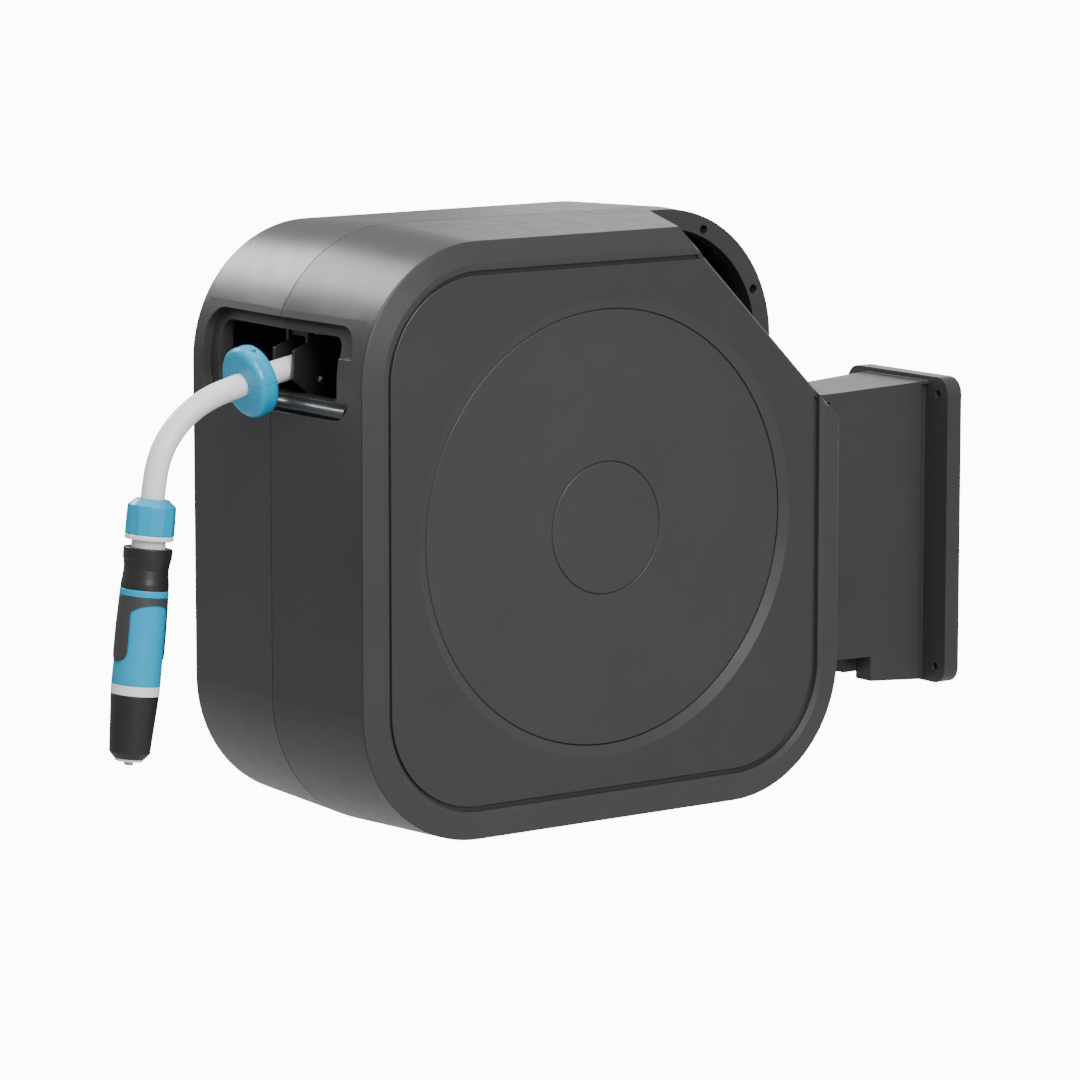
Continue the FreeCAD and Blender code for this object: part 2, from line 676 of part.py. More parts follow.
grip_mouth = grip_room("grip_mouth", S.grip_lip, as_size(-70), grip_floor_x)
grip_under = grip_room("grip_under", S.shell + 1.0,
                       -(S.cut_back + S.grip_lip_thick), grip_floor_x)
rim_holes = [
    rod(f"rim_hole_{k}", (-S.cut_back - 20, y, z), S.grip_hole, 30, "X", CASE)
    for k, (y, z) in enumerate(((149.0, 194.0), (195.0, 148.0)))
]
axle_boss = rod("axle_boss", (rear_end + 2, 0, 0), 26, 24, "X", CASE)
axle_hole = rod("axle_hole", (rear_end - 5, 0, 0), S.axle_radius, 60, "X", CASE)
rear_rim = common("rear_rim", outer_rear, mouth_block("rear_rim_box", -204, rear_x))
rear_bead = rod("rear_bead", (rear_x - bead_long, bead_y, bead_z), S.mouth_bead,
                bead_long, "X", CASE)
rear_ledge = slab("rear_ledge", "YZ_Plane", (0, 0), seam_size - S.mouth_step * 2,
                  seam_size - S.mouth_step * 2, seam_corner - S.mouth_step, rear_x + 1,
                  S.rear_deep, back=True, taper=-S.draft)
rear_mouth = join("rear_mouth", mouth_open,
                  cut("rear_recess", mouth_recess, rear_ledge))
rear_skin = cut("rear_skin", join("rear_outside", outer_rear, ext), rear_hollow,
                grip_mouth, grip_under, rear_mouth)
rear_rim_cut = cut("rear_rim_cut", rear_rim, rear_mouth)
journals = []
for word, y, z in (("screw", S.screw_y, S.screw_z), ("guide", S.guide_y, S.guide_z)):
    journals.append(rod(f"{word}_seat", (rear_end + 5, y, z), 10, 12, "X", CASE))
rear_blank = join("rear_blank", rear_skin, rear_rim_cut, rear_bead, axle_boss, *journals)
seat_holes = [
    rod("screw_seat_hole", (rear_end + 9, S.screw_y, S.screw_z), 7.0, 20, "X", CASE),
    rod("guide_seat_hole", (rear_end + 9, S.guide_y, S.guide_z), S.guide_radius, 20,
        "X", CASE),
]
node(cut("rear_shell_cut", rear_blank, axle_hole, *rim_holes, *seat_holes),
     "rear_shell")

# ---------------------------------------------------------------- front cover

def inset(name, depth, start, length, back, taper=None):
    """Rounded rectangle of the casing outline, inset by a depth."""
    size = S.case_size - as_size(depth) * 2
    return slab(name, "YZ_Plane", (0, 0), size, size, S.case_corner - depth, start,
                length, back=back, taper=taper)


def slope(run, rise):
    """Taper angle of a slope with a run and a rise, tied to the sheet."""
    run, rise = as_size(run), as_size(rise)
    angle = math.degrees(math.atan(run.value / rise.value))
    return Size(angle, f"(atan({run.text} / {rise.text}) / 1 deg)")


cover_edge = inset("cover_edge", 0.0, 0, 0.1, True)
cover_plug = inset("cover_plug", S.shell + 0.25, -0.1, 5.1, True)
bezel = inset("bezel", 0.0, 0, S.bezel_high, False,
              -slope(S.bezel_wide, S.bezel_high))
crest = S.bezel_high
bank_start = S.bezel_wide + S.crest_wide
bank = inset("bank", bank_start, crest, S.bank_deep, True,
             -slope(S.bank_wide, S.bank_deep))
moat = inset("moat", bank_start + S.bank_wide, crest, crest + S.moat_deep, True)
panel = inset("panel", S.panel_edge, -S.moat_deep - 1, S.moat_deep + 1 + S.panel_high,
              False)
soften(panel, "panel_soft", as_size(0.8),
       lambda p: abs(p.x - S.panel_high.value) < 0.01)


def edge_flats(name, top):
    """Flats round one circle, for the front edge of the corner cut at a height."""
    edge_round = as_size(3.0)
    round_x = top - edge_round
    round_out = (S.cut_front
                 - (round_x * sin_of(S.cut_lean) + edge_round) / cos_of(S.cut_lean))
    flats = []
    for k, lean in enumerate((33.0, 47.0, 61.0, 75.0)):
        lean = as_size(lean)
        out = round_out + round_x * tan_of(lean) + edge_round / cos_of(lean)
        flats.append(corner_tool(f"{name}_flat_{k}", out, lean, 12, -4))
    return flats


dish_depth = S.panel_high + S.dish_deep
dish = cone("dish", (-S.dish_deep, 0, 0), S.dish_inner,
            S.dish_outer + (S.dish_outer - S.dish_inner) / dish_depth, dish_depth + 1,
            "X", CASE)
seat = rod("seat", (-S.dish_deep - S.disc_thick, 0, 0), S.dish_inner,
           S.disc_thick + 1, "X", CASE)
well = rod("well", (-20, 0, 0), S.dish_inner - 6, 40, "X", CASE)
cover_back = rod("cover_back", (-S.dish_deep - S.disc_thick - 3, 0, 0),
                 S.dish_inner + 5, 6, "X", CASE)
cover_top = cut("cover_top", join("cover_rise", cover_edge, cover_plug, bezel),
                bank, moat, *edge_flats("bezel", crest))
panel_top = cut("panel_top", panel, *edge_flats("panel", S.panel_high))
cover_blank = join("cover_blank", cover_top, panel_top, cover_back)
cover_cut = corner_tool("cover_cut", S.cut_front, S.cut_lean, 20, -40)
plug_cut = corner_tool("plug_cut", S.cut_front - S.shell - 0.5, S.cut_lean, -0.1, -40)
node(cut("cover", cover_blank, dish, seat, well, cover_cut, plug_cut), "front_cover")

disc_front = -S.dish_deep
node(turned("cover_disc", [
    (disc_front - S.disc_thick + 0.1, S.cap_radius + 0.3),
    (disc_front - S.disc_thick + 0.1, S.dish_inner - 0.5),
    (disc_front - 0.6, S.dish_inner - 0.5), (disc_front, S.dish_inner - 1.1),
    (disc_front, S.cap_radius + 0.8), (disc_front - 0.5, S.cap_radius + 0.3),
], (0, 0, 0), "X", CASE), "cover_disc")
node(turned("hub_cap", [
    (disc_front - 5, 0), (disc_front - 5, S.cap_radius - 4),
    (disc_front - 3.4, S.cap_radius - 4), (disc_front - 3.4, S.cap_radius),
    (disc_front - 0.5, S.cap_radius), (disc_front + 0.1, S.cap_radius - 0.6),
    (disc_front + 0.1, 0),
], (0, 0, 0), "X", CASE), "hub_cap")

# ---------------------------------------------------------------- fixed inside

def cased(name, points, at=(0, 0, 0), axis="X"):
    """Turned piece placed from the casing's reference point."""
    return turned(name, points, at, axis, CASE)


bulk_front = S.bulkhead_x + S.bulkhead_thick
bulk_size = S.case_size - (S.shell + S.gap) * 2
bulk_blank = slab("bulk_blank", "YZ_Plane", (0, 0), bulk_size, bulk_size,
                  S.case_corner - S.shell, S.bulkhead_x, S.bulkhead_thick)
bulk_corner = corner_tool("bulk_corner", S.cut_front - S.shell - 1.0, None, 0, -60)
bulk_mouth = box("bulk_mouth", (-60, -260, S.mouth_low - 7),
                 (0, S.mouth_rim + 2 - S.case_size / 2, S.mouth_high + 7), CASE)
bulk_hub = rod("bulk_hub", (S.bulkhead_x - 2, 0, 0), 20, S.bulkhead_thick + 2, "X", CASE)
bulk_holes = [
    rod(f"bulk_hole_{word}", (S.bulkhead_x - 20, y, z), radius, 60, "X", CASE)
    for word, y, z, radius in (
        ("axle", 0, 0, S.axle_radius - 2), ("screw", S.screw_y, S.screw_z, 7),
        ("guide", S.guide_y, S.guide_z, S.guide_radius), ("pawl", 0, 70, 3))
]
node(cut("bulk_cut", join("bulk_join", cut("bulk_trim", bulk_blank, bulk_corner,
                                           bulk_mouth), bulk_hub), *bulk_holes),
     "inner_bulkhead")

axle_end = S.bulkhead_x - 2
port_x = as_size(-134)
axle_blank = cased("axle_blank", [
    (rear_end, S.axle_bore), (rear_end, S.axle_radius), (axle_end, S.axle_radius),
    (axle_end, S.axle_radius - 2), (bulk_front + 10, S.axle_radius - 2),
    (bulk_front + 10, 0), (port_x + 10, 0), (port_x + 10, S.axle_bore)])
axle_port = rod("axle_port", (port_x, 0, 0), 4, 20, "Z", CASE)
node(cut("axle_cut", axle_blank, axle_port), "water_axle")
node(cased("axle_nut", [
    (bulk_front + 0.1, S.axle_radius - 2), (bulk_front + 0.1, 17),
    (bulk_front + 6.5, 17), (bulk_front + 8, 15), (bulk_front + 8, S.axle_radius - 2)]),
    "axle_nut")

# Rotating seals either side of the axle's port.
union_half = as_size(14)
seals = []
for word, middle in (("rear", port_x - 9), ("front", port_x + 9)):
    seals.append(ring(f"seal_{word}", (middle - 1.5, 0, 0), S.axle_radius + 0.08,
                      S.axle_radius + 2.5, 3, "X", CASE))

inlet_top = as_size(17)
elbow_blank = join(
    "elbow_blank",
    rod("elbow_body", (rear_end - 34, 0, 0), inlet_top, 33.7, "X", CASE),
    rod("elbow_spout", (rear_end - 18, 0, -42), 11, 42, "Z", CASE))
elbow_bore = rod("elbow_bore", (rear_end - 26, 0, 0), 6.5, 40, "X", CASE)
elbow_down = rod("elbow_down", (rear_end - 18, 0, -60), 6.5, 62, "Z", CASE)
node(cut("elbow_cut", elbow_blank, elbow_bore, elbow_down), "inlet_elbow")
node(turned("inlet_spigot", [
    (-62, 5.5), (-62, 7.6), (-60, 8.2), (-54, 8.2), (-54, 6.9), (-51, 6.9), (-51, 8.6),
    (-46, 8.6), (-46, 13.5), (-42.1, 13.5), (-42.1, 5.5)], (rear_end - 18, 0, 0), "Z",
    CASE), "inlet_spigot")
cover_screws = []
for i, (y, z) in enumerate(((-163, -163), (163, -163), (-163, 163), (0, -190),
                            (0, 190), (-190, 0), (190, 0))):
    cover_screws.append(cased(f"case_screw_{i}", [
        (rear_end - 2.4, 0), (rear_end - 2.4, 2.5), (rear_end - 1.4, 4.5),
        (rear_end - 0.1, 4.5), (rear_end - 0.1, 0)], (0, y, z)))
node(join("case_screw_set", *cover_screws), "casing_screws")

guide_long = S.bulkhead_x + S.bulkhead_thick - (rear_end + 9.2)
node(cased("guide_rod", [
    (0, 0), (0, S.guide_radius - 0.6), (0.6, S.guide_radius - 0.05),
    (guide_long, S.guide_radius - 0.05), (guide_long, 0)],
    (rear_end + 9.2, S.guide_y, S.guide_z)), "guide_rod")

# ---------------------------------------------------------------- drum

drum_low = S.mouth_middle - S.drum_half
drum_high = S.mouth_middle + S.drum_half
hub_radius = S.axle_radius + S.running + S.bush_wall
hub_long = as_size(12)


def flange(name, inner_x, outward):
    """Drum side disc with a hub and lightening ribs; outward is -1 or +1."""
    far = inner_x + S.flange_thick * outward
    tip = inner_x - (hub_long - S.flange_thick) * outward
    rim = far + 1.5 * outward
    return cased(name, [
        (tip, hub_radius), (tip, hub_radius + 4), (inner_x, hub_radius + 4),
        (inner_x, S.flange_radius - 4), (inner_x + 1.5 * outward, S.flange_radius),
        (rim, S.flange_radius), (rim, S.flange_radius - 6), (far, S.flange_radius - 7),
        (far, hub_radius)])


node(flange("front_flange", drum_high, 1), "drum_flange_front")
node(flange("rear_flange", drum_low, -1), "drum_flange_rear")
core_blank = cased("core_blank", [
    (drum_low + 0.05, S.core_radius - S.core_wall), (drum_low + 0.05, S.core_radius),
    (drum_high - 0.05, S.core_radius), (drum_high - 0.05, S.core_radius - S.core_wall)])
hose_port = rod("hose_port", (port_x, 0, 0), 9, 100, "Z", CASE)
node(cut("core_cut", core_blank, hose_port), "drum_core")
node(cased("hose_winding", [
    (drum_low + 0.6, S.core_radius + 0.3), (drum_low + 0.6, S.winding_radius - 4),
    (drum_low + 4, S.winding_radius), (drum_high - 4, S.winding_radius),
    (drum_high - 0.6, S.winding_radius - 4), (drum_high - 0.6, S.core_radius + 0.3)]),
    "hose_winding")
drum_bushes = [
    ring("drum_bush_rear", (drum_low - S.flange_thick, 0, 0),
         S.axle_radius + S.running, hub_radius, hub_long, "X", CASE),
    ring("drum_bush_front", (drum_high - hub_long + S.flange_thick, 0, 0),
         S.axle_radius + S.running, hub_radius, hub_long, "X", CASE),
]
node(join("drum_bush_pair", *drum_bushes), "drum_bushes")
union_blank = cased("union_blank", [
    (port_x - union_half, S.axle_radius + 0.5), (port_x - union_half, 22),
    (port_x + union_half, 22), (port_x + union_half, S.axle_radius + 0.5)])
union_seats = rod("union_seats", (port_x - union_half, 0, 0), S.axle_radius + 2.5,
                  union_half * 2, "X", CASE)
union_barb = rod("union_barb", (port_x, 0, 18), 7.0, S.core_radius - 18, "Z", CASE)
union_way = rod("union_way", (port_x, 0, 10), 4.5, 60, "Z", CASE)
union_body = join("union_body", cut("union_ring", union_blank, union_seats), union_barb)
node(cut("union_cut", union_body, union_way), "water_union")
node(join("seal_pair", *seals), "union_seals")

teeth = 12
ratchet_root = S.ratchet_radius - 6
ratchet_low = drum_high + S.flange_thick + 1.6
ratchet_body = new_body("ratchet_body", (ratchet_low, 0, 0), CASE)
ratchet_sketch = sketch_on(ratchet_body, "YZ_Plane", "ratchet_profile")
points = []
for k in range(teeth):
    for share, radius in ((0.0, S.ratchet_radius), (0.12, ratchet_root),
                          (0.55, ratchet_root)):
        angle = as_size(360.0 * (k + share) / teeth + 90.0)
        points.append((radius * cos_of(angle), radius * sin_of(angle)))
outline(ratchet_sketch, points)
pad(ratchet_body, ratchet_sketch, 6, "ratchet_pad")
ratchet_hole = rod("ratchet_hole", (ratchet_low - 5, 0, 0), S.axle_radius + 0.6, 30, "X",
                   CASE)
node(cut("ratchet_cut", ratchet_body, ratchet_hole), "ratchet_wheel")

pulley_low = ratchet_low + 6.1
belt_low = pulley_low + 1.2
pulley_long = S.belt_wide + 2.4


def pulley(name, at_y, at_z, bore):
    """Belt pulley with two thin rims."""
    rim = S.pulley_radius + S.belt_thick + 1.0
    seat = S.pulley_radius - 0.3
    return cased(name, [
        (0, bore), (0, rim), (1.0, rim), (1.0, seat), (S.belt_wide + 1.4, seat),
        (S.belt_wide + 1.4, rim), (pulley_long, rim), (pulley_long, bore)],
        (pulley_low, at_y, at_z))


node(pulley("drum_pulley", 0, 0, S.axle_radius + 0.6), "drum_pulley")

# ---------------------------------------------------------------- power spring

arbor_low = as_size(-112)
spring_wide = as_size(40)
node(ring("spring_arbor", (arbor_low - 2, 0, 0), S.axle_radius, 18,
          spring_wide + 4, "X", CASE), "spring_arbor")
cup_radius = S.core_radius - S.core_wall - 0.3
node(cased("spring_cup", [
    (arbor_low - 6, 20), (arbor_low - 6, cup_radius), (arbor_low + spring_wide, cup_radius),
    (arbor_low + spring_wide, cup_radius - 2), (arbor_low - 4, cup_radius - 2),
    (arbor_low - 4, 20)]), "spring_cup")


def spiral_band(inner, outer, turns, thick):
    """Face of a spiral band between two radii, in its own XY plane."""
    steps = 24
    count = int(turns * steps)
    sides = []
    for offset in (0.0, thick):
        line = []
        for k in range(count + 1):
            angle = 2 * math.pi * k / steps
            radius = inner + (outer - thick - inner) * k / count + offset
            line.append(Vector(radius * math.cos(angle), radius * math.sin(angle), 0))
        curve = Part.BSplineCurve()
        curve.interpolate(line)
        sides.append(curve)
    first, second = sides
    ends = [Part.LineSegment(first.StartPoint, second.StartPoint),
            Part.LineSegment(first.EndPoint, second.EndPoint)]
    edges = [first.toShape(), ends[1].toShape(), second.toShape(), ends[0].toShape()]
    return Part.Face(Part.Wire(Part.__sortEdges__(edges)))


spring = doc.addObject("Part::Feature", "main_spring")
band = spiral_band(19.5, cup_radius.value - 2.3, 9, 1.2)
spring.Shape = band.extrude(Vector(0, 0, spring_wide.value - 2))
put(spring, (arbor_low + 1, 0, 0), CASE, TURN["X"])
node(spring, "main_spring")

# ---------------------------------------------------------------- traverse

screw_low = rear_end + 9.6
journal = as_size(5)
pitch = as_size(8.5)
thread_start = as_size(-172)
thread_turns = 15
profile = [(screw_low, 0), (screw_low, journal), (thread_start - 4, journal),
           (thread_start - 4, S.screw_radius)]
for k in range(thread_turns):
    base = thread_start + pitch * k
    profile += [(base, S.screw_radius), (base + 1, S.screw_radius - 1.6),
                (base + 3, S.screw_radius - 1.6), (base + 4, S.screw_radius)]
profile += [(pulley_low, S.screw_radius), (pulley_low, journal),
            (bulk_front + 1, journal), (bulk_front + 1, 0)]
node(cased("traverse_screw", profile, (0, S.screw_y, S.screw_z)), "traverse_screw")
node(pulley("screw_pulley", S.screw_y, S.screw_z, journal), "screw_pulley")
node(join("screw_bush_pair", *[
    ring(f"screw_bush_{word}", (start, S.screw_y, S.screw_z), journal + S.running, 6.95,
         length, "X", CASE)
    for word, start, length in (("rear", screw_low - 0.3, as_size(7)),
                                ("front", S.bulkhead_x, S.bulkhead_thick))]),
    "screw_bushes")

# Drive belt from the drum to the traverse screw, round both pulleys.
reach = math.hypot(S.screw_y.value, S.screw_z.value)
tilt = math.degrees(math.atan2(S.screw_z.value, S.screw_y.value))
span = Size(reach, "sqrt(sizes.screw_y * sizes.screw_y + sizes.screw_z * sizes.screw_z)")


def belt_solid(name, radius, low, long):
    """Stadium-shaped slab round both pulley centres."""
    ends = [rod(f"{name}_end_{k}", (low, y, z), radius, long, "X", CASE)
            for k, (y, z) in enumerate(((0, 0), (S.screw_y, S.screw_z)))]
    bar = new_body(name + "_bar", (low, 0, 0), CASE, Rotation(Vector(1, 0, 0), tilt))
    sketch = sketch_on(bar, "YZ_Plane", name + "_bar_outline")
    outline(sketch, [(0, -radius), (span, -radius), (span, radius), (0, radius)])
    pad(bar, sketch, long, name + "_bar_pad")
    return join(name, bar, *ends)


belt_outer = belt_solid("belt_outer", S.pulley_radius + S.belt_thick, belt_low,
                        S.belt_wide)
belt_inner = belt_solid("belt_inner", S.pulley_radius, belt_low - 1,
                        S.belt_wide + 2)
node(cut("belt_cut", belt_outer, belt_inner), "drive_belt")

# Pawl beside the ratchet wheel, on its own pin, with its return spring.
pawl_y = as_size(0)
pawl_z = as_size(70)
node(cased("pawl_pin", [
    (ratchet_low - 1.2, 0), (ratchet_low - 1.2, 3), (bulk_front, 3),
    (bulk_front, 5), (bulk_front + 2, 5), (bulk_front + 2, 0)], (0, pawl_y, pawl_z)),
    "pawl_pin")
pawl_body = new_body("pawl_body", (ratchet_low, pawl_y, pawl_z), CASE)
pawl_sketch = sketch_on(pawl_body, "YZ_Plane", "pawl_outline")
outline(pawl_sketch, [(-6, 7), (-6, -4), (-24, -22), (-21, -26), (4, -7), (6, 7)])
pad(pawl_body, pawl_sketch, 6, "pawl_pad")
pawl_hole = rod("pawl_hole", (ratchet_low - 5, pawl_y, pawl_z), 3 + S.running, 30, "X",
                CASE)
node(cut("pawl_cut", pawl_body, pawl_hole), "pawl")
node(ring("pawl_spring", (ratchet_low + 6.5, pawl_y, pawl_z), 3.6, 6.5, 8, "X", CASE),
     "pawl_spring")

# ---------------------------------------------------------------- carriage

MID = (S.face_x + S.mouth_middle, S.case_y, S.case_z)
inside = S.cheek_half - S.cheek_thick
block_half = inside - 0.05
screw_boss = rod("screw_boss", (-block_half, S.screw_y, S.screw_z), 12.5,
                 block_half * 2, "X", MID)
upper_web = box("upper_web", (-block_half, -187, 138), (block_half, -167.5, 147.2), MID)
guide_boss = rod("guide_boss", (-block_half, S.guide_y, S.guide_z), 9,
                 block_half * 2, "X", MID)
lower_web = box("lower_web", (-block_half, -186, 80), (block_half, -158.5, 97), MID)
screw_way = rod("screw_way", (-30, S.screw_y, S.screw_z), S.screw_radius + S.gap, 60,
                "X", MID)
guide_way = rod("guide_way", (-30, S.guide_y, S.guide_z), S.guide_radius + 0.03, 60,
                "X", MID)
follower_way = rod("follower_way", (0, S.screw_y, S.screw_z), 3.05, 30, "Z", MID)
bolt_places = [(-177.5, 107.9), (-183.0, 91.0), (-163.5, 91.0), (-180.0, 142.6)]
bolt_ways = [rod(f"bolt_way_{k}", (-20, y, z), 2.3, 40, "X", MID)
             for k, (y, z) in enumerate(bolt_places)]
node(cut("nut_block_cut", join("nut_block", screw_boss, upper_web), screw_way,
         follower_way, bolt_ways[3]), "carriage_nut_block")
node(cut("slide_block_cut", join("slide_block", guide_boss, lower_web), guide_way,
         bolt_ways[1], bolt_ways[2]), "carriage_slide_block")
node(rod("follower", (0, S.screw_y, S.screw_z + S.screw_radius + 0.5), 3.0, 5.5, "Z",
         MID), "screw_follower")

roller_y = as_size(-158)
roller_radius = as_size(6)
roller_places = [("upper", 136.6), ("lower", 107.2)]
cheek_outline = [(-189, 147.4), (-189, 134.3), (-200, 129.5), (-201, 109.8),
                 (-187.5, 97.8), (-187.5, 85.5), (-158, 85.5), (-150, 98),
                 (-150, 147.4)]
for word, low in (("left", -S.cheek_half), ("right", inside)):
    body = new_body(f"cheek_{word}_body", (low, 0, 0), MID)
    sketch = sketch_on(body, "YZ_Plane", f"cheek_{word}_outline")
    outline(sketch, cheek_outline)
    pad(body, sketch, S.cheek_thick, f"cheek_{word}_pad")
    pin_ways = [rod(f"cheek_{word}_pin_{k}", (-20, roller_y, z), 2.5 + S.running, 40,
                    "X", MID) for k, (_, z) in enumerate(roller_places)]
    holes = [rod(f"cheek_{word}_bolt_{k}", (-20, y, z), 2.3, 40, "X", MID)
             for k, (y, z) in enumerate(bolt_places)]
    node(cut(f"cheek_{word}_cut", body, *pin_ways, *holes), f"hose_cheek_{word}")
bolts = []
head_low = S.cheek_half + 0.05
for k, (y, z) in enumerate(bolt_places):
    bolts.append(turned(f"cheek_bolt_{k}", [
        (-head_low - 2.5, 0), (-head_low - 2.5, 3.0), (-head_low, 4.2), (-head_low, 2.2),
        (head_low, 2.2), (head_low, 4.5), (head_low + 1.5, 4.2), (head_low + 2.8, 2.6),
        (head_low + 2.8, 0)], (0, y, z), "X", MID))
node(join("cheek_bolt_set", *bolts), "cheek_bolts")
roller_half = inside - 0.3
for word, height in roller_places:
    node(turned(f"roller_{word}", [
        (-S.cheek_half + 0.2, 0), (-S.cheek_half + 0.2, 2.5), (-roller_half, 2.5),
        (-roller_half, roller_radius), (roller_half, roller_radius), (roller_half, 2.5),
        (S.cheek_half - 0.2, 2.5), (S.cheek_half - 0.2, 0)],
        (0, roller_y, height), "X", MID), f"hose_roller_{word}")

# ---------------------------------------------------------------- free hose

# Route of the hose's centre line from the carriage to the nut, in the
# carriage's middle plane: (towards the wall, up) from the drum axis.
HOSE_ROUTE = [
    (-95.0, 127.5),
    (-144.8, 123.6),
    (-196.4, 116.8),
    (-237.8, 106.9),
    (-262.2, 100.2),
    (-281.6, 89.1),
    (-296.2, 73.5),
    (-304.8, 54.7),
    (-307.2, 34.8),
]
ARC_SHARE = 0.45


def hose_tube(route, radius):
    """Straight runs joined by tangent arcs, with a round section swept along."""
    points = [Vector(0, y, z) for y, z in route]
    edges = []
    start = points[0]
    for before, here, after in zip(points, points[1:], points[2:]):
        into = (here - before).normalize()
        out = (after - here).normalize()
        turn = into.getAngle(out)
        shorter = min((here - before).Length, (after - here).Length)
        arc_radius = ARC_SHARE * shorter / math.tan(turn / 2)
        print(f"hose bend radius {arc_radius:.1f} mm")
        first = here - into * (ARC_SHARE * shorter)
        last = here + out * (ARC_SHARE * shorter)
        bisector = (out - into).normalize()
        centre = here + bisector * (arc_radius / math.cos(turn / 2))
        middle = centre - bisector * arc_radius
        edges.append(Part.LineSegment(start, first).toShape())
        edges.append(Part.Arc(first, middle, last).toShape())
        start = last
    edges.append(Part.LineSegment(start, points[-1]).toShape())
    path = Part.Wire(edges)
    along = (points[1] - points[0]).normalize()
    ring_edge = Part.makeCircle(radius, points[0], along)
    tube = path.makePipeShell([Part.Wire(ring_edge)], True, False)
    expected = math.pi * radius ** 2 * path.Length
    print(f"hose length {path.Length:.1f} mm, volume {tube.Volume / expected:.4f}")
    return tube


hose = doc.addObject("Part::Feature", "hose_lead")
hose.Shape = hose_tube(HOSE_ROUTE, S.hose_radius.value)
put(hose, (0, 0, 0), MID)
node(hose, "hose_lead")

# ---------------------------------------------------------------- stopper

droop = Rotation(Vector(1, 0, 0), S.stopper_lean.value)
half = S.stopper_thick / 2
stopper_at = (0, S.stopper_y, S.stopper_z)
stopper_bore = S.hose_radius + 0.4
stopper_profile = [
    (-half, stopper_bore), (-half, S.stopper_radius - 4.5),
    (0.9 - half, S.stopper_radius - 2.0), (2.4 - half, S.stopper_radius - 0.6),
    (4.6 - half, S.stopper_radius), (half - 4.6, S.stopper_radius),
    (half - 2.4, S.stopper_radius - 0.6), (half - 0.9, S.stopper_radius - 2.0),
    (half, S.stopper_radius - 4.5), (half, stopper_bore)]
screw_x = 10.4
screw_shift = as_size(1.1)
screw_at_y = S.stopper_y + screw_shift * cos_of(S.stopper_lean)
screw_at_z = S.stopper_z + screw_shift * sin_of(S.stopper_lean)
for word, low, high in (("upper", 0.03, 40), ("lower", -40, -0.03)):
    whole = turned(f"stopper_{word}_whole", stopper_profile, stopper_at, "Y", MID,
                   droop.multiply(TURN["Y"]))
    side = new_body(f"stopper_{word}_side", stopper_at, MID, droop)
    sketch = sketch_on(side, "YZ_Plane", f"stopper_{word}_box")
    outline(sketch, [(-20, low), (20, low), (20, high), (-20, high)])
    slice_pad = pad(side, sketch, 80, f"stopper_{word}_pad")
    slice_pad.Midplane = True
    piece = common(f"stopper_{word}_piece", whole, side)
    ways = []
    for k, x in enumerate((-screw_x, screw_x)):
        ways.append(turned(f"stopper_{word}_way_{k}", [
            (-19, 0), (-19, 1.1), (10, 1.1), (10, 1.9), (30, 1.9), (30, 0)],
            (x, screw_at_y, screw_at_z), "Z", MID, droop))
    node(cut(f"stopper_{word}_cut", piece, *ways), f"stopper_{word}")
stopper_screws = [
    turned(f"stopper_screw_{k}", [(-18, 0), (-18, 1.0), (10.1, 1.0), (10.1, 1.7),
                                  (12.4, 1.7), (12.4, 0)],
           (x, screw_at_y, screw_at_z), "Z", MID, droop)
    for k, x in enumerate((-screw_x, screw_x))
]
node(join("stopper_screw_set", *stopper_screws), "stopper_screws")

# ---------------------------------------------------------------- nozzle

lean = Rotation(Vector(1, 0, 0), -S.nozzle_lean.value)
nozzle_at = (0, S.nozzle_y, S.nozzle_z)


def hung(name, points):
    """Turned piece on the nozzle's axis: points are (distance down, radius)."""
    flipped = [(-as_size(down), radius) for down, radius in points]
    return turned(name, flipped, nozzle_at, "Z", MID, lean)


nut_turned = hung("nut_turned", [
    (0.1, 8.7), (0.1, 11.5), (4.6, 16.6), (23.8, 17.2), (24.2, 16.8), (24.2, 8.7)])
nut_body = new_body("nut_prism", nozzle_at, MID, lean)
nut_sketch = sketch_on(nut_body, "XY_Plane", "nut_outline", 2)
sides = 12
nut_reach = as_size(16.9)
outline(nut_sketch, [
    (nut_reach * cos_of(as_size(360.0 * k / sides)),
     nut_reach * sin_of(as_size(360.0 * k / sides))) for k in range(sides)])
pad(nut_body, nut_sketch, 30, "nut_pad", True)
node(common("nut_common", nut_turned, nut_body), "hose_nut")
node(hung("hose_tail", [
    (0.1, 5.5), (0.1, 8.2), (24.4, 8.2), (24.4, 16.4), (25.2, 16.8), (27.0, 16.8),
    (27.8, 16.2), (27.8, 11.75), (35.0, 11.75), (35.0, 9.0), (52.0, 9.0), (52.0, 5.5)]),
    "hose_tail")
node(hung("coupling_collar", [
    (33.2, 12.9), (33.2, 16.4), (33.8, 16.9), (41.0, 16.7), (41.8, 16.1), (48.0, 15.4),
    (53.5, 15.9), (57.5, 16.5), (61.1, 16.6), (61.1, 12.9)]), "coupling_collar")
node(hung("coupling_core", [
    (36.2, 9.1), (36.2, 12.6), (75.0, 12.6), (75.0, 7.0), (53.0, 7.0), (53.0, 9.1)]),
    "coupling_core")
node(hung("blue_ring", [
    (61.5, 12.7), (61.5, 16.4), (61.9, 16.8), (66.0, 16.8), (66.4, 16.4),
    (66.4, 12.7)]), "blue_ring")
node(hung("nozzle_body", [
    (66.6, 12.7), (66.6, 16.2), (126.8, 16.9), (126.8, 10.0), (140.0, 10.0),
    (140.0, 7.5), (75.2, 7.5), (75.2, 12.7)]), "nozzle_body")
grip_sleeve = hung("grip_sleeve", [
    (66.6, 16.35), (66.6, 16.9), (88.0, 17.5), (112.0, 17.6), (112.0, 16.9)])
window_half = as_size(15)
arch_rise = as_size(7)
window_at = as_size(-71) - arch_rise
window_body = new_body("window_body", nozzle_at, MID, lean)
window_sketch = sketch_on(window_body, "YZ_Plane", "window_outline")
window_points = []
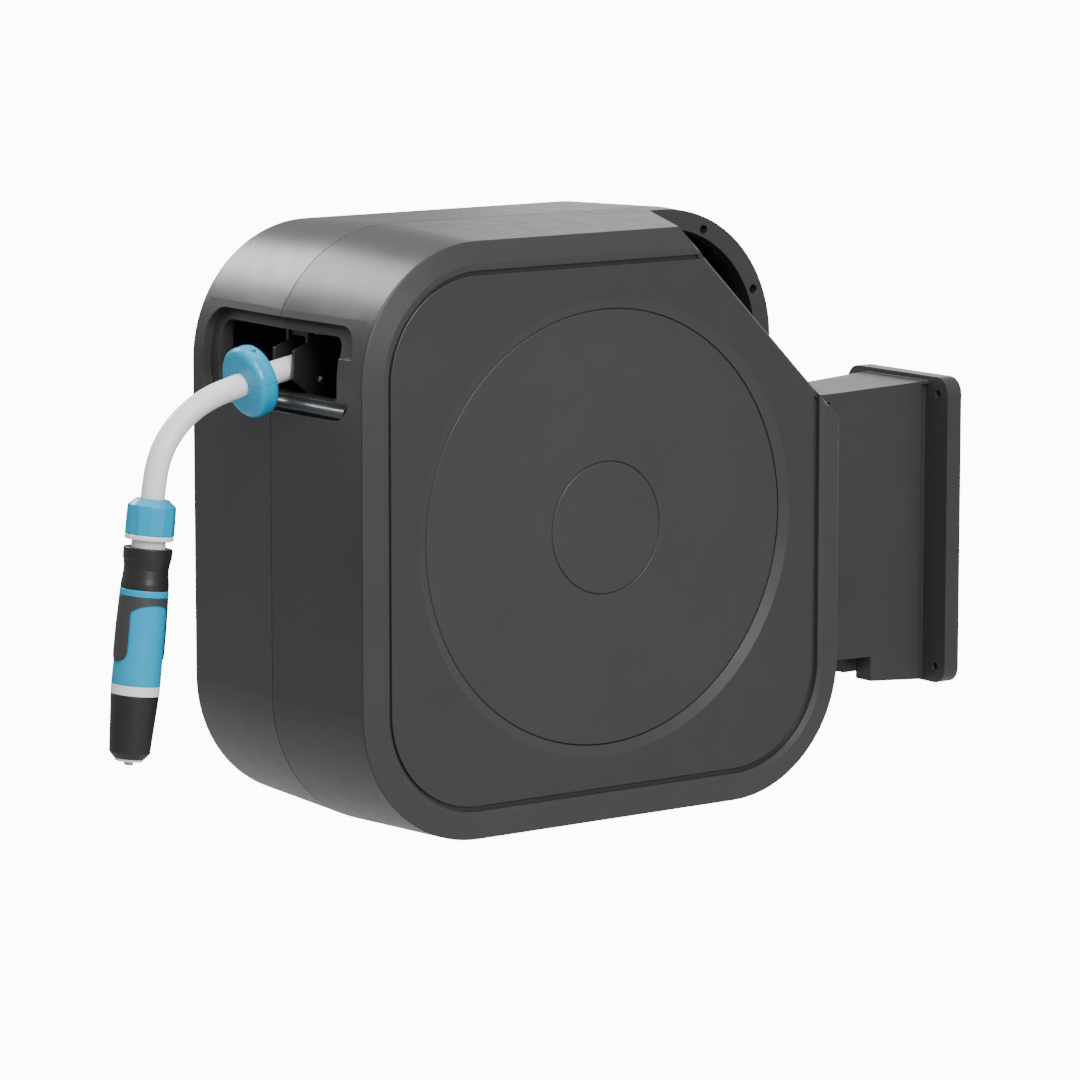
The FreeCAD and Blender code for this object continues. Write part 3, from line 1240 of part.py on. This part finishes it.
arch_steps = 10
for k in range(arch_steps + 1):
    angle = as_size(180.0 * k / arch_steps)
    window_points.append((window_half * cos_of(angle), window_at + arch_rise * sin_of(angle)))
outline(window_sketch, window_points + [(-window_half, -130), (window_half, -130)])
window_pad = pad(window_body, window_sketch, 60, "window_pad")
window_pad.Midplane = True
grip_end = new_body("grip_end", nozzle_at, MID, lean)
end_sketch = sketch_on(grip_end, "XZ_Plane", "grip_end_outline")
end_half = as_size(9.3)
end_points = [(as_size(20), as_size(-101)), (as_size(20), as_size(-125)),
              (as_size(-20), as_size(-125)), (as_size(-20), as_size(-101))]
for k in range(arch_steps + 1):
    angle = as_size(180.0 * k / arch_steps)
    end_points.append((-end_half * cos_of(angle), -111.5 + end_half * (1 - sin_of(angle))))
outline(end_sketch, end_points)
end_pad = pad(grip_end, end_sketch, 60, "grip_end_pad")
end_pad.Midplane = True
node(cut("grip_cut", grip_sleeve, window_body, grip_end), "nozzle_grips")
node(hung("white_ring", [
    (127.0, 10.1), (127.0, 16.8), (133.8, 16.8), (133.8, 10.1)]), "white_ring")
node(hung("nozzle_head", [
    (134.1, 10.06), (134.1, 16.2), (134.6, 16.6), (173.8, 14.1), (177.8, 10.8),
    (177.8, 5.0), (145.0, 5.0), (145.0, 8.0), (141.0, 8.0), (141.0, 10.06)]),
    "nozzle_head")
node(hung("tip_rim", [(177.9, 5.0), (177.9, 10.3), (179.8, 9.4), (179.8, 5.0)]),
     "tip_rim")
stem = hung("stem", [
    (131.0, 0), (131.0, 7.4), (134.0, 7.4), (134.0, 2.4), (180.0, 2.4), (180.6, 3.4),
    (182.6, 3.0), (182.6, 0)])
stem_ways = []
for k, (across, fore) in enumerate(((-5, -5), (2.6, -5), (2.6, 2.6), (-5, 2.6))):
    stem_way = new_body(f"stem_way_{k}", nozzle_at, MID, lean)
    hole_sketch = sketch_on(stem_way, "XY_Plane", f"stem_way_{k}_hole", -129)
    outline(hole_sketch, [(across, fore), (across + 2.4, fore),
                          (across + 2.4, fore + 2.4), (across, fore + 2.4)])
    pad(stem_way, hole_sketch, 7, f"stem_way_{k}_pad", True)
    stem_ways.append(stem_way)
node(cut("stem_cut", stem, *stem_ways), "spray_stem")

# ---------------------------------------------------------------- write out

doc.recompute()
failed = [obj.Name for obj in doc.Objects
          if any(word in ("Invalid", "Error") for word in obj.State)]
failed += [obj.Label for obj in NODES if obj.Shape.isNull() or not obj.Shape.isValid()]
if failed:
    raise RuntimeError(f"failed objects: {failed}")
labels = [obj.Label for obj in NODES]
if len(set(labels)) != len(labels):
    raise RuntimeError("two sub-parts share a name")

os.makedirs("parts", exist_ok=True)
for obj in NODES:
    obj.Shape.exportStep(os.path.join("parts", obj.Label + ".step"))
print(len(NODES), "sub-parts written")
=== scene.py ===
import json
import math

import bmesh
import bpy
from mathutils import Matrix, Vector


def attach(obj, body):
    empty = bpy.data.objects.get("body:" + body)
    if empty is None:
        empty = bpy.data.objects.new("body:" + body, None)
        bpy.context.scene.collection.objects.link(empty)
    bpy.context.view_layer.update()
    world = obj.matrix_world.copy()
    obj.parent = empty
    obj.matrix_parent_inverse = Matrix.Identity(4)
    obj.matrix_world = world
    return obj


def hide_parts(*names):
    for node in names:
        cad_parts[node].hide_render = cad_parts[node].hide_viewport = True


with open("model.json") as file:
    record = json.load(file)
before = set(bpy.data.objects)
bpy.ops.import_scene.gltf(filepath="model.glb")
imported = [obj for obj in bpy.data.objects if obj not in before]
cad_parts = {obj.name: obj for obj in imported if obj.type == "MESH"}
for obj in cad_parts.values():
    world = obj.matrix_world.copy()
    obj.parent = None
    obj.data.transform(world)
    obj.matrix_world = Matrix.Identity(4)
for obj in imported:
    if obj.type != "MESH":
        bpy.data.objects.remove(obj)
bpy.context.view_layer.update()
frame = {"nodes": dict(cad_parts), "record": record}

NODES = frame["nodes"]
scene = bpy.context.scene

# ---------------------------------------------------------------- camera

AZIMUTH = math.radians(53.806)
ELEVATION = math.radians(8.856)
LENS_MM = 172.48
DRUM_CENTRE = Vector((0.106, -0.3645, 0.041))
DISTANCE = 3.61124
SHIFT_LEFT = 0.04769
SHIFT_DOWN = 0.00828

back = Vector((math.sin(AZIMUTH) * math.cos(ELEVATION),
               -math.cos(AZIMUTH) * math.cos(ELEVATION), math.sin(ELEVATION)))
right = Vector((math.cos(AZIMUTH), math.sin(AZIMUTH), 0))
upward = back.cross(right)

camera = bpy.data.objects.new("camera", bpy.data.cameras.new("camera"))
camera.data.sensor_width = 36.0
camera.data.lens = LENS_MM
camera.data.clip_start = 0.1
camera.data.clip_end = 200.0
viewpoint = DRUM_CENTRE + back * DISTANCE - right * SHIFT_LEFT - upward * SHIFT_DOWN
camera.matrix_world = Matrix.Translation(viewpoint) @ Matrix(
    (right, upward, back)).transposed().to_4x4()
scene.collection.objects.link(camera)
scene.camera = camera

# ---------------------------------------------------------------- free hose

HOSE_RADIUS = 0.00825
HOSE_ROUTE = [
    (0, -0.4595, 0.1685),
    (0, -0.5093, 0.1646),
    (0, -0.5609, 0.1578),
    (0, -0.6023, 0.1479),
    (0, -0.6267, 0.1412),
    (0, -0.6461, 0.1301),
    (0, -0.6607, 0.1145),
    (0, -0.6693, 0.0957),
    (0, -0.6717, 0.0758),
]


def hose_piece(name, points, radius, body, node, ring_detail, steps):
    """Hose along one smooth spline with the points as its controls, for a CAD node."""
    curve = bpy.data.curves.new(name, "CURVE")
    curve.dimensions = "3D"
    curve.bevel_depth = 1.0                # each point's own radius scales this
    curve.bevel_resolution = ring_detail
    curve.use_fill_caps = True
    spline = curve.splines.new("NURBS")
    spline.points.add(len(points) - 1)
    for point, co in zip(spline.points, points):
        point.co = (*co, 1.0)
        point.radius = radius
    spline.order_u = 3
    spline.use_endpoint_u = True
    spline.resolution_u = steps
    obj = bpy.data.objects.new(name, curve)
    scene.collection.objects.link(obj)
    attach(obj, body)
    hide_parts(node)
    return obj


hose = hose_piece("free_hose", HOSE_ROUTE, HOSE_RADIUS, "carriage", "hose_lead", 8, 16)

# ---------------------------------------------------------------- wound hose

DRUM_Y = -0.3645
DRUM_Z = 0.041
LAYER_RADII = (0.07055, 0.08705, 0.10355, 0.12005, 0.13625)
WINDING_HALF = 0.04515
WINDING_RADIUS = 0.0082
PITCH = 0.0166
POINTS_PER_TURN = 16


def winding_points():
    """Layers of close turns, each starting where the one below it ends."""
    count = round(2 * WINDING_HALF / PITCH * POINTS_PER_TURN)
    points = []
    angle = 0.0
    for layer, radius in enumerate(LAYER_RADII):
        way = 1 if layer % 2 == 0 else -1
        for k in range(count + 1):
            points.append((way * WINDING_HALF * (2 * k / count - 1),
                           DRUM_Y + radius * math.sin(angle),
                           DRUM_Z + radius * math.cos(angle)))
            angle += 2 * math.pi / POINTS_PER_TURN
    return points


winding = hose_piece("wound_hose", winding_points(), WINDING_RADIUS, "drum",
                     "hose_winding", 3, 3)

# ---------------------------------------------------------------- materials

NOISE_LOW, NOISE_HIGH = 0.3, 0.7           # where a noise texture's values mostly lie
CLOUD_SCALE = 14.0
GLOSS_SCALE = 60.0
GLOSS_SPREAD = 0.025
GRAIN_DEPTH = 0.00006


def material(name, colour, rough, grain, grain_size=0.0004, mottle=0.04,
             metallic=0.0, edge=0.0006):
    """Moulded or metal surface: fine grain, uneven gloss, slight mottling, soft edges."""
    mat = bpy.data.materials.new(name)
    mat.use_nodes = True
    tree = mat.node_tree
    shader = tree.nodes["Principled BSDF"]
    shader.inputs["Metallic"].default_value = metallic
    coords = tree.nodes.new("ShaderNodeTexCoord")

    def noise(scale, detail=3.0):
        node = tree.nodes.new("ShaderNodeTexNoise")
        node.inputs["Scale"].default_value = scale
        node.inputs["Detail"].default_value = detail
        tree.links.new(coords.outputs["Object"], node.inputs["Vector"])
        return node.outputs["Fac"]

    def remap(source, low, high):
        node = tree.nodes.new("ShaderNodeMapRange")
        node.inputs["From Min"].default_value = NOISE_LOW
        node.inputs["From Max"].default_value = NOISE_HIGH
        node.inputs["To Min"].default_value = low
        node.inputs["To Max"].default_value = high
        tree.links.new(source, node.inputs["Value"])
        return node.outputs["Result"]

    tint = tree.nodes.new("ShaderNodeMix")
    tint.data_type = "RGBA"
    tint.inputs["A"].default_value = (*[c * (1 - mottle) for c in colour], 1)
    tint.inputs["B"].default_value = (*[min(1, c * (1 + mottle)) for c in colour], 1)
    tree.links.new(remap(noise(CLOUD_SCALE), 0.0, 1.0), tint.inputs["Factor"])
    tree.links.new(tint.outputs["Result"], shader.inputs["Base Color"])
    tree.links.new(remap(noise(GLOSS_SCALE), rough - GLOSS_SPREAD, rough + GLOSS_SPREAD),
                   shader.inputs["Roughness"])
    bump = tree.nodes.new("ShaderNodeBump")
    bump.inputs["Strength"].default_value = grain
    bump.inputs["Distance"].default_value = GRAIN_DEPTH
    soften = tree.nodes.new("ShaderNodeBevel")
    soften.samples = 6
    soften.inputs["Radius"].default_value = edge
    tree.links.new(soften.outputs["Normal"], bump.inputs["Normal"])
    tree.links.new(noise(1.0 / grain_size, 2.0), bump.inputs["Height"])
    tree.links.new(bump.outputs["Normal"], shader.inputs["Normal"])
    return mat


FINISHES = {
    "casing_plastic": dict(colour=(0.041, 0.040, 0.041), rough=0.34, grain=0.4),
    "trim_plastic": dict(colour=(0.041, 0.040, 0.041), rough=0.44, grain=0.45),
    "black_plastic": dict(colour=(0.018, 0.018, 0.019), rough=0.40, grain=0.3),
    "blue_plastic": dict(colour=(0.0, 0.37, 0.64), rough=0.28, grain=0.12,
                         mottle=0.03, edge=0.0012),
    "white_plastic": dict(colour=(0.92, 0.92, 0.91), rough=0.33, grain=0.15, mottle=0.02),
    "hose_pvc": dict(colour=(0.93, 0.93, 0.92), rough=0.42, grain=0.3,
                     grain_size=0.0012, mottle=0.02),
    "rubber": dict(colour=(0.045, 0.045, 0.046), rough=0.58, grain=0.6),
    "nylon": dict(colour=(0.62, 0.6, 0.53), rough=0.4, grain=0.2),
    "zinc_steel": dict(colour=(0.55, 0.55, 0.56), rough=0.32, grain=0.3, metallic=1.0),
    "spring_steel": dict(colour=(0.16, 0.17, 0.2), rough=0.3, grain=0.2, metallic=1.0),
    "brass": dict(colour=(0.58, 0.42, 0.16), rough=0.28, grain=0.2, metallic=1.0),
}
MATERIALS = {name: material(name, **finish) for name, finish in FINISHES.items()}
for part in frame["record"]["subparts"]:
    paints = NODES[part["node"]].data.materials
    paints.clear()
    paints.append(MATERIALS[part["material_slot"]])
for piece in (hose, winding):
    piece.data.materials.append(MATERIALS["hose_pvc"])

# ---------------------------------------------------------------- floor and light

BACKDROP_GLOW = 12.0
SKY_LIGHT = 0.5
FLOOR_SIZE = 80.0
FLOOR_Z = -0.9
LIGHT_TARGET = Vector((0, -0.36, 0.04))


def white_to_camera(tree, lit, plain, output):
    """Shows a plain white to the camera, while other rays meet the lit surface."""
    plain.inputs["Strength"].default_value = BACKDROP_GLOW
    rays = tree.nodes.new("ShaderNodeLightPath")
    choice = tree.nodes.new("ShaderNodeMixShader")
    tree.links.new(rays.outputs["Is Camera Ray"], choice.inputs["Fac"])
    tree.links.new(lit.outputs[0], choice.inputs[1])
    tree.links.new(plain.outputs[0], choice.inputs[2])
    tree.links.new(choice.outputs["Shader"], tree.nodes[output].inputs["Surface"])


floor = bpy.data.objects.new("floor", bpy.data.meshes.new("floor"))
floor_mesh = bmesh.new()
bmesh.ops.create_grid(floor_mesh, x_segments=1, y_segments=1, size=FLOOR_SIZE)
floor_mesh.to_mesh(floor.data)
floor_mesh.free()
floor.location = (0, 0, FLOOR_Z)
scene.collection.objects.link(floor)
floor_paint = bpy.data.materials.new("floor_paint")
floor_paint.use_nodes = True
floor_tree = floor_paint.node_tree
surface = floor_tree.nodes["Principled BSDF"]
surface.inputs["Base Color"].default_value = (0.5, 0.5, 0.5, 1)
surface.inputs["Roughness"].default_value = 0.9
white_to_camera(floor_tree, surface, floor_tree.nodes.new("ShaderNodeEmission"),
                "Material Output")
floor.data.materials.append(floor_paint)

world = bpy.data.worlds.new("world")
scene.world = world
world.use_nodes = True
world_tree = world.node_tree
sky = world_tree.nodes["Background"]
sky.inputs["Color"].default_value = (1, 1, 1, 1)
sky.inputs["Strength"].default_value = SKY_LIGHT
white_to_camera(world_tree, sky, world_tree.nodes.new("ShaderNodeBackground"),
                "World Output")


def softbox(name, place, wide, high, power):
    """Rectangular light aimed at the casing's middle."""
    lamp = bpy.data.lights.new(name, "AREA")
    lamp.shape = "RECTANGLE"
    lamp.size = wide
    lamp.size_y = high
    lamp.energy = power
    obj = bpy.data.objects.new(name, lamp)
    scene.collection.objects.link(obj)
    obj.visible_camera = False
    obj.location = place
    aim = LIGHT_TARGET - Vector(place)
    obj.rotation_euler = aim.to_track_quat("-Z", "Y").to_euler()


softbox("top_light", (-0.6, -0.2, 2.4), 2.0, 2.0, 30)
softbox("left_light", (-2.5, -0.75, 1.75), 1.3, 0.8, 48)
softbox("key_light", (3.0, -1.0, 1.5), 1.4, 1.4, 84)
softbox("glint_light", (1.6, -1.3, 2.6), 0.9, 0.9, 35)
softbox("rim_light", (-1.3, 2.8, 0.55), 4.4, 2.2, 34)
